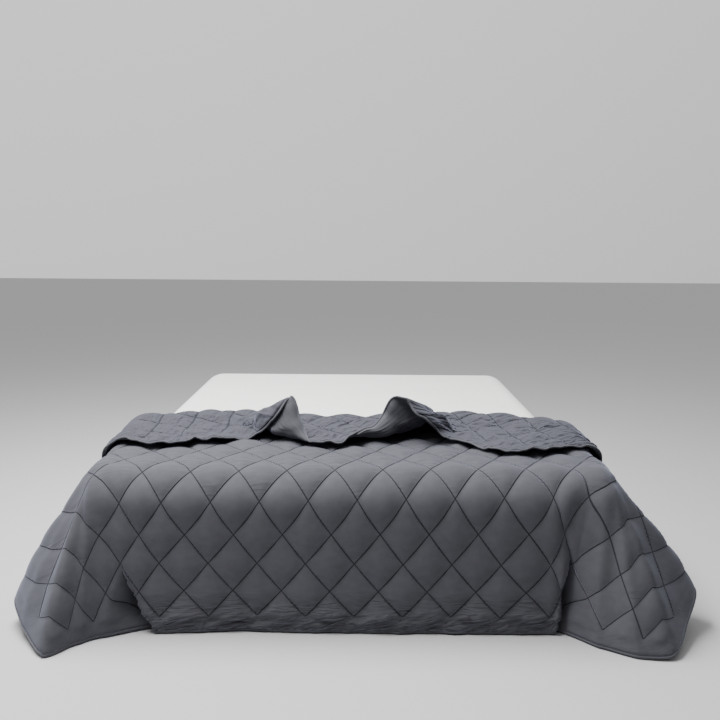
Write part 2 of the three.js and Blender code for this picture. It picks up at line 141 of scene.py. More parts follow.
@dataclass(frozen=True)
class FlatCloth:
    """The blanket as it is cut and quilted, flat, with u across it and v from its foot hem.

    A puff is full to puff_fullness, hangs low in its diamond by sag, and is pulled flatter over the foot
    corners and the sides by flattening.
    """

    diamond_width: float = 140.0
    diamond_height: float = 212.0
    diamonds_across: int = 15
    diamonds_along: int = 7
    side_border: float = 65.0
    end_border: float = 70.0
    puff_thickness: float = 26.0
    seam_thickness: float = 2.2
    border_thickness: float = 7.5
    rim_thickness: float = 4.5
    puff_fullness: float = 0.62
    sag: float = 0.3
    flattening: float = 0.4
    over_corner_across: Fade = Fade(620.0, 860.0)
    over_corner_along: Fade = Fade(1130.0, 630.0)
    over_side: Fade = Fade(680.0, 800.0)
    into_border: Fade = Fade(0.0, 22.0)
    in_from_rim: Fade = Fade(0.0, 20.0)

    @property
    def width(self) -> float:
        """Edge to edge across the cloth."""
        return self.diamonds_across * self.diamond_width + 2 * self.side_border

    @property
    def length(self) -> float:
        """Foot hem to head hem."""
        return self.diamonds_along * self.diamond_height + 2 * self.end_border

    @property
    def half_width(self) -> float:
        """From the middle of the cloth to its edge."""
        return self.width / 2

    def lattice(self, u: Array, v: Array) -> tuple[Array, Array]:
        """Finds the place among the two families of seams, in which each seam is a whole number.

        Args:
            u: Across the cloth.
            v: From the foot hem.

        Returns:
            The place among the seams that rise to one side, and among those that rise to the other.
        """
        across = u / self.diamond_width
        along = (v - self.end_border) / self.diamond_height
        return across + along, across - along

    def thickness(self, u: Array, v: Array) -> Array:
        """The padded thickness: full in a diamond, pinched at a seam, soft in a border, thin at the rim.

        Args:
            u: Across the cloth.
            v: From the foot hem.

        Returns:
            The thickness there.
        """
        first, second = self.lattice(u, v)
        puff = np.abs(np.sin(math.pi * first) * np.sin(math.pi * second)) ** self.puff_fullness
        height = (first - np.floor(first) + 1 - (second - np.floor(second))) / 2
        puff = puff * (1 + self.sag * (1 - 2 * height)) / (1 + self.sag * self.sag / 2)
        beside, lengthways = np.abs(u), np.abs(v - self.length / 2)
        over_corner = self.over_corner_across.at(beside) * self.over_corner_along.at(v)
        stretched = np.maximum(over_corner, self.over_side.at(beside))
        quilted = mix(self.seam_thickness, self.puff_thickness * (1 - self.flattening * stretched), puff)
        past_sides = beside - (self.half_width - self.side_border)
        past_ends = lengthways - (self.length / 2 - self.end_border)
        plain = mix(quilted, self.border_thickness, self.into_border.at(np.maximum(past_sides, past_ends)))
        to_rim = np.minimum(self.half_width - beside, self.length / 2 - lengthways)
        return mix(self.rim_thickness, plain, self.in_from_rim.at(to_rim))


@dataclass(frozen=True)
class Creases:
    """Folds that a gathered or rumpled cloth keeps: sharp ridges in several directions, each a little wavy.

    shortest and longest bound the distance between one family's ridges. The families turn by up to slant to
    either side of heading, which is 0 for straight across the cloth. waver is how far a ridge strays and
    waver_length over how much of its length; the patches it shows in are patch_length long and patch_depth
    deep. Those four count in distances between ridges, and sharpness narrows the ridge.
    """

    height: float
    shortest: float
    longest: float
    slant: float
    families: int
    seed: int
    heading: float = 0.0
    waver: float = 0.22
    waver_length: float = 3.1
    patch_length: float = 4.3
    patch_depth: float = 2.6
    sharpness: float = 1.6

    def at(self, u: Array, v: Array) -> Array:
        """Adds up the families' ridges.

        Args:
            u: Across the cloth.
            v: From the foot hem.

        Returns:
            How far they raise each point, never less than nothing.
        """
        draw = np.random.default_rng(self.seed)
        raised = np.zeros_like(u)
        for _ in range(self.families):
            apart, phase = draw.uniform(self.shortest, self.longest), draw.uniform(0, 1)
            turned = self.heading + draw.uniform(-self.slant, self.slant)
            over = u * math.sin(turned) + v * math.cos(turned)
            beside = u * math.cos(turned) - v * math.sin(turned)
            stray = self.waver * np.sin(2 * math.pi * (beside / (self.waver_length * apart) + phase))
            patch_place = beside / (self.patch_length * apart) - over / (self.patch_depth * apart)
            patch = 0.5 + 0.5 * np.sin(2 * math.pi * (patch_place + 2 * phase))
            ridge = 1 - np.abs(np.sin(math.pi * (over / apart + stray + phase)))
            raised += ridge**self.sharpness * patch
        return self.height * raised / self.families


@dataclass(frozen=True)
class Ray:
    """Where a line of cloth that leaves the bed top ends: a row of the skirt's table.

    hem is the distance round the skirt's edge from the middle of the foot, out the distance from the middle
    of the bed, ahead the distance in front of the plane in which the foot hangs, rise the height of the hem,
    and belly how far the line bows out on its way.
    """

    fold: str
    hem: float
    out: float
    ahead: float
    rise: float
    belly: float


@dataclass(frozen=True)
class Pleat:
    """A wedge beside a foot corner where the drop folds in, opening downwards from a point on it.

    across and above place that point. From there the panel's edge, the valley and the corner's edge run down,
    each straying sideways by its share of the way. depth is how far the valley lies behind, lean how far it
    slips towards the middle of the bed, and hem_depth the share of the depth that is left at the hem. opening
    is how soon the depth is reached, and crispness how sharply the wall on the panel's side starts; the other
    wall starts softly.
    """

    across: float
    above: float
    panel_edge: float
    valley: float
    corner_edge: float
    depth: float
    lean: float
    hem_depth: float
    opening: float = 1.9
    crispness: float = 0.6


@dataclass(frozen=True)
class TurnBack:
    """One line of the turned-back head end: where it folds, where its hem lies and how high the hem stands.

    nose is the radius of the fold. sweep says how late the line rises to its hem: a high one stands up
    steeply just behind the hem. skew is how far the line strays sideways on its way there, and curl how far
    it comes forward under its hem.
    """

    line: str
    across: float
    fold: float
    hem_x: float
    hem_y: float
    lift: float
    nose: float
    sweep: float
    skew: float
    curl: float


@dataclass(frozen=True)
class HemWave:
    """One of the waves along the turned-back hem."""

    length: float
    height: float
    phase: float

    def at(self, u: Array) -> Array:
        """How far the hem strays at each place across the cloth."""
        return self.height * np.sin(2 * math.pi * u / self.length + self.phase)


@dataclass(frozen=True)
class Ridges:
    """Sharp folds that fan out over a foot corner.

    first is where the first one ends round the hem. They grow out of the bed's edge by growth and settle
    towards the hem by settling.
    """

    first: float
    spacing: float
    height: float
    starting: Fade = Fade(-0.8, -0.3)
    ending: Fade = Fade(2.6, 1.6)
    growth: float = 1.4
    settling: float = 0.6

    def at(self, hem: Array, way: Array) -> Array:
        """Raises the ridges.

        Args:
            hem: Where a point's line of cloth ends round the hem.
            way: The point's share of the way there.

        Returns:
            How far the point stands out.
        """
        place = (hem - self.first) / self.spacing
        shown = self.starting.at(place) * self.ending.at(place)
        ridge = self.height * (1 - np.abs(np.sin(math.pi * place))) * shown
        return ridge * ease(self.growth * way) * (1 - self.settling * way)


FLAT = FlatCloth()
HEM = 5.5  # the height of the cloth's middle layer where its hem lies on the floor
SIDEWAYS = 12.5  # how far to the right of the bed's middle the cloth lies
LEFT_HALF = FLAT.half_width - SIDEWAYS
RIGHT_HALF = FLAT.half_width + SIDEWAYS

# fold, hem, out, ahead, rise, belly
LEFT_RAYS = tuple(Ray(*row) for row in (
    ("middle", 0, 0, 12, HEM, 0),
    ("panel", 450, 447, 12, HEM, 0),
    ("panel edge", 550, 546, 24, HEM, 0),
    ("front fold", 830, 716, 65, HEM, 4),
    ("near tip", 970, 773, 112, HEM, 8),
    ("corner", LEFT_HALF, 826, 172, HEM, 10),
    ("rise", LEFT_HALF + 160, 913, 70, 27, 15),
    ("ridge", LEFT_HALF + 320, 988, -66, 70, 18),
    ("back of ridge", LEFT_HALF + 450, 925, -150, 62, 15),
    ("valley", LEFT_HALF + 570, 845, -200, 52, 6),
    ("swell", LEFT_HALF + 740, 885, -320, 52, 8),
    ("side panel", LEFT_HALF + 940, 805, -440, 47, 2),
    ("side panel", LEFT_HALF + 1200, 800, -690, 47, 0),
    ("head", LEFT_HALF + 1700, 800, -1190, 47, 0),
))
RIGHT_RAYS = tuple(Ray(*row) for row in (
    ("middle", 0, 0, 12, HEM, 0),
    ("panel", 460, 460, 12, HEM, 0),
    ("panel edge", 570, 572, 12, HEM, 0),
    ("corner edge", 740, 628, 34, HEM, 2),
    ("front fold", 850, 695, 88, HEM, 4),
    ("near tip", 990, 782, 150, HEM, 8),
    ("corner", RIGHT_HALF, 878, 163, HEM + 6, 10),
    ("rise", RIGHT_HALF + 170, 962, 40, 47, 15),
    ("ridge", RIGHT_HALF + 350, 1022, -98, 107, 18),
    ("back of ridge", RIGHT_HALF + 470, 950, -180, 92, 15),
    ("valley", RIGHT_HALF + 580, 865, -225, 72, 6),
    ("swell", RIGHT_HALF + 760, 895, -340, 67, 8),
    ("side panel", RIGHT_HALF + 960, 805, -460, 57, 2),
    ("side panel", RIGHT_HALF + 1200, 800, -690, 57, 0),
    ("head", RIGHT_HALF + 1700, 800, -1190, 57, 0),
))
LEFT_RIDGES = Ridges(first=905, spacing=190, height=16)
RIGHT_RIDGES = Ridges(first=850, spacing=150, height=16)
LEFT_PLEAT = Pleat(
    across=687.5, above=282, panel_edge=-0.46, valley=-0.12, corner_edge=0.42,
    depth=90, lean=52, hem_depth=0.5,
)
RIGHT_PLEAT = Pleat(
    across=694, above=352, panel_edge=-0.26, valley=-0.02, corner_edge=0.5,
    depth=80, lean=22, hem_depth=0.55,
)

# line, across, fold, hem_x, hem_y, lift, nose, sweep, skew, curl
TURN_BACK_LINES = tuple(TurnBack(*row) for row in (
    ("left hang", -FLAT.half_width, 600, -900, 420, 24, 14, 1.5, 0, 0),
    ("left edge", -760, 635, -560, 300, 26, 18, 1.5, 0, 0),
    ("left flap", -600, 675, -440, 365, 26, 21, 1.5, 0, 0),
    ("left foot", -463, 710, -305, 425, 26, 22, 1.5, 0, 0),
    ("left shoulder", -400, 715, -248, 400, 82, 22, 1.6, -30, 0),
    ("left horn", -315, 710, -180, 430, 160, 21, 3, -65, 30),
    ("left inner", -240, 690, -152, 400, 90, 20, 5, -75, 60),
    ("left heel", -165, 680, -134, 325, 28, 18, 3, -20, 10),
    ("middle", -100, 675, -90, 305, 24, 18, 1.5, 0, 0),
    ("right heel", -40, 675, -35, 315, 28, 18, 2, 0, 0),
    ("right roll", 40, 670, 22, 365, 56, 18, 5, 20, 40),
    ("right rise", 120, 675, 84, 415, 90, 19, 5, 60, 60),
    ("right horn", 185, 685, 110, 415, 160, 20, 4.5, 100, 30),
    ("right crest", 240, 700, 155, 385, 160, 20, 2.2, 85, 0),
    ("right brow", 280, 705, 181, 375, 126, 21, 1.4, 75, 0),
    ("right fall", 335, 705, 222, 375, 100, 22, 1.1, 50, 0),
    ("right foot", 435, 695, 304, 380, 28, 24, 1.1, 15, 0),
    ("right step", 520, 680, 374, 325, 24, 23, 1.3, 0, 0),
    ("right flap", 600, 665, 440, 245, 24, 21, 1.5, 0, 0),
    ("right belly", 720, 640, 545, 215, 28, 18, 1.5, 0, 0),
    ("right edge", 800, 625, 625, 255, 26, 15, 1.5, 0, 0),
    ("right hang", FLAT.half_width, 600, 900, 430, 24, 14, 1.5, 0, 0),
))


@dataclass(eq=False)
class SkirtSide:
    """One side of the hanging cloth, from the middle of the foot round to the head.

    half_width is its share of the flat width, and the rays say where its lines of cloth end.
    """

    half_width: float
    rays: Sequence[Ray]
    pleat: Pleat
    ridges: Ridges

    def __post_init__(self) -> None:
        """Makes a smooth curve of each column of the rays' table."""
        hem, *columns = zip(*(astuple(ray)[1:] for ray in self.rays))
        self.out, self.ahead, self.rise, self.belly = (SmoothCurve(hem, column) for column in columns)


@dataclass
class Drape:
    """How the cloth lies: over the bed top, down past its edges, and turned back at the head end.

    The two bends are its radii over the foot and the side edges, and from side_bend_from past a corner the
    side one holds. Over the bed it lies turned and drifts, but its first settled_rows half diamonds hang
    straight, and it takes up that turn in the next settling_rows. The turned-back layer comes to rest on the
    other within a share 1 / settling of its length; wave_sweep and astray_sweep say how near the hem it waves
    and strays.
    """

    cloth: FlatCloth
    bed_top: float = 446.0
    rest_gap: float = 0.3
    foot_bend: float = 118.0
    side_bend: float = 60.0
    side_bend_from: float = 300.0
    top_half_width: float = 725.0
    foot_drop: float = 630.0
    lower_slack: float = 0.16
    turn: float = 0.031
    drift: float = -0.085
    top_sideways: float = 11.0
    settled_rows: float = 2.0
    settling_rows: float = 3.0
    layer_rest: float = 25.0
    settling: float = 2.5
    astray_sweep: int = 3
    wave_sweep: int = 6
    slope_step: float = 2.0
    hem_waves: tuple[HemWave, ...] = (HemWave(118, 4, 0.4), HemWave(67, 3, 2.1), HemWave(290, 4, 4.0))
    left: SkirtSide = SkirtSide(LEFT_HALF, LEFT_RAYS, LEFT_PLEAT, LEFT_RIDGES)
    right: SkirtSide = SkirtSide(RIGHT_HALF, RIGHT_RAYS, RIGHT_PLEAT, RIGHT_RIDGES)

    def __post_init__(self) -> None:
        """Makes a smooth curve of each column of the turned-back end's table."""
        across, *columns = zip(*(astuple(line)[1:] for line in TURN_BACK_LINES))
        curves = (SmoothCurve(across, column) for column in columns)
        self.fold_y, self.hem_x, self.hem_y, self.lift, self.nose, self.sweep, self.skew, self.curl = curves

    @property
    def top_height(self) -> float:
        """The height of the cloth's middle layer on the bed top."""
        return self.bed_top + self.cloth.puff_thickness / 2 + self.rest_gap

    def lay_askew(self, u: Array, v: Array) -> tuple[Array, Array]:
        """Lays the flat cloth on the unrolled plane of the bed top, a little turned.

        Args:
            u: Across the cloth.
            v: From the foot hem.

        Returns:
            Where the point lies across that plane and along it.
        """
        cloth = self.cloth
        row = (v - cloth.end_border) / (cloth.diamond_height / 2)
        share = np.clip((row - self.settled_rows) / self.settling_rows, 0.0, 1.0)
        past_edge = np.maximum(v - self.foot_drop, 0.0)
        return u + SIDEWAYS + self.top_sideways * share + self.drift * past_edge, v + self.turn * u * share

    def pleat_push(self, side: SkirtSide, a: Array, v: Array) -> tuple[Array, Array]:
        """Folds the drop in beside a foot corner.

        Args:
            side: The side of the skirt.
            a: Distance from the middle of the bed in the unrolled plane.
            v: Distance from the foot hem in it.

        Returns:
            How far the point is pushed in towards the bed, and sideways towards its middle.
        """
        pleat = side.pleat
        below = np.maximum(pleat.above - v, 0.0)
        place = (a - pleat.across) / np.maximum(below, TINY)
        panel_wall = np.clip((place - pleat.panel_edge) / (pleat.valley - pleat.panel_edge), 0.0, 1.0)
        corner_wall = np.clip((pleat.corner_edge - place) / (pleat.corner_edge - pleat.valley), 0.0, 1.0)
        crisp = mix(ease(panel_wall), panel_wall * (2 - panel_wall), pleat.crispness)
        wall = np.where(place < pleat.valley, crisp, ease(corner_wall))
        reach = below / pleat.above
        deep = ease(pleat.opening * reach) * mix(1.0, pleat.hem_depth, ease(2 * reach - 1))
        return pleat.depth * deep * wall, pleat.lean * reach * wall

    def over_side(self, side: SkirtSide, a: Array, v: Array) -> tuple[Array, ...]:
        """Drapes points of one side of the bed.

        Args:
            side: The side of the skirt.
            a: Distance from the middle of the bed in the unrolled plane.
            v: Distance from the foot hem in it.

        Returns:
            Distance out from the middle of the bed, distance ahead of the hanging plane, and height.
        """
        over = np.maximum(a - self.top_half_width, 0.0)
        down = np.maximum(self.foot_drop - v, 0.0)
        safe_over, safe_down = np.maximum(over, TINY), np.maximum(down, TINY)
        overhang = side.half_width - self.top_half_width
        travelled = np.hypot(over, down)
        heading = np.where(over > 0, np.arctan2(down, safe_over), math.pi / 2)
        ends_at_foot = down * overhang >= over * self.foot_drop
        ray = np.where(
            ends_at_foot,
            self.foot_drop / np.maximum(np.sin(heading), TINY),
            overhang / np.maximum(np.cos(heading), TINY),
        )
        foot_hem = np.where(over > 0, self.top_half_width + self.foot_drop * over / safe_down, a)
        side_hem = side.half_width + np.where(down > 0, self.foot_drop - overhang * down / safe_over, v)
        hem = np.where(ends_at_foot, foot_hem, side_hem)
        start_out = np.minimum(a, self.top_half_width)
        start_ahead = -(self.foot_bend + np.maximum(v - self.foot_drop, 0.0))
        end_out, end_ahead = side.out.at(hem), side.ahead.at(hem)
        drop = self.top_height - side.rise.at(hem)
        side_from = side.half_width + self.side_bend_from
        bend = Fade(self.top_half_width, side_from, self.foot_bend, self.side_bend).at(hem)
        away = np.hypot(end_out - start_out, end_ahead - start_ahead)
        to_centre = np.hypot(away, drop - bend)
        straight = np.sqrt(np.maximum(to_centre**2 - bend**2, 1.0))
        bend_angle = np.arctan2(drop - bend, away) + np.arcsin(np.clip(bend / to_centre, -1.0, 1.0))
        bend_length = bend * bend_angle
        share = np.maximum((travelled - bend_length) / np.maximum(ray - bend_length, TINY), 0.0)
        along = straight * (share * (1 + self.lower_slack) - self.lower_slack * share**2)
        turned_by = np.minimum(travelled / bend, bend_angle)
        reach = bend * np.sin(turned_by) + np.cos(bend_angle) * along
        fall = bend * (1 - np.cos(turned_by)) + np.sin(bend_angle) * along
        way = np.clip(travelled / ray, 0.0, 1.0)
        reach = reach + side.belly.at(hem) * np.sin(math.pi * way) + side.ridges.at(hem, way)
        end_heading = np.arctan2(end_ahead - start_ahead, end_out - start_out)
        turned = mix(heading, end_heading, ease(reach / np.maximum(away, TINY)))
        inward, sideways = self.pleat_push(side, a, v)
        moved = travelled > 0
        out = start_out + np.where(moved, reach * np.cos(turned), 0.0) - sideways
        ahead = start_ahead + np.where(moved, reach * np.sin(turned), 0.0) - inward
        return out, ahead, self.top_height - np.where(moved, fall, 0.0)

    def over_bed(self, u: Array, v: Array) -> Array:
        """Drapes both sides of the bed.

        Args:
            u: Across the unrolled plane, from the middle of the bed.
            v: Distance from the foot hem in it.

        Returns:
            The place in space, one row for each point.
        """
        mirror = np.where(u < 0, -1.0, 1.0)
        left = self.over_side(self.left, np.abs(u), v)
        right = self.over_side(self.right, np.abs(u), v)
        out, ahead, height = (np.where(u < 0, l, r) for l, r in zip(left, right))
        return np.stack([mirror * out, -ahead, height], axis=-1)

    def squeezed(self, u: Array, v: Array) -> Array:
        """Finds how far the pleats squeeze the padding.

        Args:
            u: Across the cloth.
            v: From the foot hem.

        Returns:
            0 outside a pleat, up to 1 in its valley.
        """
        lies_u, lies_v = self.lay_askew(u, v)
        left, _ = self.pleat_push(self.left, np.abs(lies_u), lies_v)
        right, _ = self.pleat_push(self.right, np.abs(lies_u), lies_v)
        return np.where(lies_u < 0, left / self.left.pleat.depth, right / self.right.pleat.depth)

    def fold_line(self, u: Array) -> Array:
        """Where each line of cloth starts to turn back, from the foot hem."""
        return self.fold_y.at(u) + self.foot_drop - self.foot_bend - self.turn * u

    def side_up(self, u: Array, v: Array) -> Array:
        """Finds which way is out of the draped plane, by its slope across a small step.

        Args:
            u: Across the unrolled plane, from the middle of the bed.
            v: Distance from the foot hem in it.

        Returns:
            The direction, of length one.
        """
        step = self.slope_step
        across = self.over_bed(u + step, v) - self.over_bed(u - step, v)
        along = self.over_bed(u, v + step) - self.over_bed(u, v - step)
        return unit(np.cross(across, along))

    def place(self, u: Array, v: Array) -> Array:
        """Drapes the blanket's middle layer, turned back past its fold.

        Args:
            u: Across the cloth.
            v: From the foot hem.

        Returns:
            The place in space, one row for each point.
        """
        fold = self.fold_line(u)
        past = np.maximum(v - fold, 0.0)
        fold_u, fold_v = self.lay_askew(u, fold)
        nose = self.nose.at(u)
        nose_length = math.pi * nose
        angle = np.minimum(past / nose, math.pi)
        share = np.clip((past - nose_length) / (self.cloth.length - fold - nose_length), 0.0, 1.0)
        beyond = past > nose_length
        peak = self.astray_sweep / (self.astray_sweep + 1)
        astray = share**self.astray_sweep * (1 - share) / (peak**self.astray_sweep * (1 - peak))
        over_u = np.where(beyond, mix(fold_u, self.hem_x.at(u), share) + self.skew.at(u) * astray, fold_u)
        hem_v = self.hem_y.at(u) + self.foot_drop - self.foot_bend
        over_v = np.where(beyond, mix(fold_v, hem_v, share), fold_v + nose * np.sin(angle))
        settled = mix(2 * nose, self.layer_rest, ease(self.settling * share))
        wave = sum(hem_wave.at(u) for hem_wave in self.hem_waves) * share**self.wave_sweep
        raised = mix(settled, self.lift.at(u), share ** self.sweep.at(u)) + wave / 2
        over_v = over_v + np.where(beyond, wave - self.curl.at(u) * astray, 0.0)
        height = np.where(beyond, raised, nose * (1 - np.cos(angle)))
        lies_u, lies_v = self.lay_askew(u, v)
        turned_back = past > 0
        at_u = np.where(turned_back, over_u, lies_u)
        at_v = np.where(turned_back, over_v, lies_v)
        lifted = self.side_up(at_u, at_v) * np.where(turned_back, height, 0.0)[..., None]
        return self.over_bed(at_u, at_v) + lifted


def in_frame(points: Array) -> Array:
    """Moves points from the bed's own place, in millimetres, to the shared frame, in metres.

    In the bed's own place, x = 0 runs down its middle and y = 0 is where the foot of the cloth hangs.

    Args:
        points: One row each.

    Returns:
        The moved points.
    """
    low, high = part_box("mattress")
    shift = np.array([(low[0] + high[0]) / 2, low[1] - Mattress().setback * MM, 0.0])
    return points * MM + shift


def linear_colour(code: str) -> tuple[float, float, float, float]:
    """Turns an sRGB colour into the linear one that a socket takes.

    Args:
        code: The colour, such as "#8090a0".

    Returns:
        Red, green, blue and an alpha of 1.
    """
    channels = (int(code[k : k + 2], 16) / 255 for k in (1, 3, 5))
    linear = (c / 12.92 if c <= 0.04045 else ((c + 0.055) / 1.055) ** 2.4 for c in channels)
    return (*linear, 1.0)


class NodeBoard:
    """The node tree of a material or a world, to which nodes are added one call each."""

    def __init__(self, block: bpy.types.Material | bpy.types.World, output: str) -> None:
        """Empties the tree and gives it its output node.

        Args:
            block: The material or the world.
            output: The output node's type name, without "ShaderNode".
        """
        block.use_nodes = True
        self.block = block
        self.tree = block.node_tree
        self.tree.nodes.clear()
        self.output = self.tree.nodes.new("ShaderNode" + output)

    @classmethod
    def for_material(cls, name: str) -> "NodeBoard":
        """Starts a material of that name."""
        return cls(bpy.data.materials.new(name), "OutputMaterial")

    def add(self, kind: str, inputs: dict | tuple = (), out: int | str = 0, **settings: object) -> Socket:
        """Adds one node.

        Args:
            kind: The node's type name, without "ShaderNode".
            inputs: A value or an output socket for each input, in order or by name or number.
            out: Which output to hand back.
            settings: The node's own properties.

        Returns:
            The chosen output socket.
        """
        node = self.tree.nodes.new("ShaderNode" + kind)
        for name, value in settings.items():
            setattr(node, name, value)
        for key, value in inputs.items() if isinstance(inputs, dict) else enumerate(inputs):
            if isinstance(value, Socket):
                self.tree.links.new(value, node.inputs[key])
            else:
                node.inputs[key].default_value = value
        return node.outputs[out]

    def finish(self, shader: Socket) -> bpy.types.Material | bpy.types.World:
        """Links the shader to the output and hands the material or the world back."""
        self.tree.links.new(shader, self.output.inputs["Surface"])
        return self.block


@dataclass(frozen=True)
class Relief:
    """How deep a bump is, in metres, and how strongly it shades."""

    strength: float
    distance: float

    def sockets(self, height: Socket, **below: Socket) -> dict:
        """What a bump takes to raise a height from 0 to 1, over another Normal if one is given."""
        return {"Height": height, "Strength": self.strength, "Distance": self.distance, **below}


@dataclass(frozen=True)
class Streaks:
    """Fine ridges in the shell: about how long one is, and how far it is from the next but one."""

    length: float
    apart: float
    angle: float = 0.0
    waver: float = 0.2
    falling: Fade = Fade(0.0, 0.22, 1.0, 0.0)

    def on(self, board: NodeBoard, flat: Socket) -> Socket:
        """Draws the ridges, sharp where a stretched noise passes its middle value.

        Args:
            board: The material's nodes.
            flat: The place on the flat cloth.

        Returns:
            Their height, from 0 to 1.
        """
        turned = board.add("VectorRotate", {"Vector": flat, "Angle": self.angle}, rotation_type="Z_AXIS")
        to_ridge = (1 / self.length, 1 / self.apart, 1.0)
        stretched = board.add("VectorMath", (turned, to_ridge), operation="MULTIPLY")
        inputs = {"Vector": stretched, "Scale": 1.0, "Detail": 1.0, "Distortion": self.waver}
        off = board.add("Math", (board.add("TexNoise", inputs, out="Fac"), 0.5), operation="SUBTRACT")
        away = board.add("Math", (off,), operation="ABSOLUTE")
        return board.add("MapRange", self.falling.sockets(away))


class ClothPlace:
    """Where a shaded point lies on the flat cloth.

    first and second are its places among the two families of seams, across and along its distances from the
    middle and from the first seam crossings, flat these two as a vector, and is_reverse is 1 on the reverse.
    """

    def __init__(self, board: NodeBoard, cloth: FlatCloth, uv_map: str, reverse_map: str) -> None:
        """Reads the piece's maps.

        Args:
            board: The material's nodes.
            cloth: The cloth whose seams the first map follows.
            uv_map: The map of the seam families' own coordinates.
            reverse_map: The attribute that is 1 on the reverse.
        """
        split = board.add("SeparateXYZ", (board.add("UVMap", uv_map=uv_map),))
        self.first, self.second = split.node.outputs[0], split.node.outputs[1]
        summed = board.add("Math", (self.first, self.second), operation="ADD")
        differing = board.add("Math", (self.first, self.second), operation="SUBTRACT")
        self.across = board.add("Math", (summed, cloth.diamond_width / 2), operation="MULTIPLY")
        self.along = board.add("Math", (differing, cloth.diamond_height / 2), operation="MULTIPLY")
        self.flat = board.add("CombineXYZ", (self.across, self.along))
        self.is_reverse = board.add("Attribute", attribute_name=reverse_map, out="Fac")


@dataclass(frozen=True, kw_only=True)
class ClothFinish:
    """What every cloth here has: a matt surface whose fibres scatter a little light at its edges."""

    roughness: float
    specular: float
    sheen: float
    sheen_roughness: float
    sheen_tint: str = "#ffffff"

    def sockets(self, colour: Socket, normal: Socket) -> dict:
        """Gathers what the shader takes for this cloth.

        Args:
            colour: The cloth's colour.
            normal: Its relief.

        Returns:
            The shader's inputs.
        """
        return {
            "Base Color": colour,
            "Roughness": self.roughness,
            "Specular IOR Level": self.specular,
            "Sheen Weight": self.sheen,
            "Sheen Roughness": self.sheen_roughness,
            "Sheen Tint": linear_colour(self.sheen_tint),
            "Normal": normal,
        }


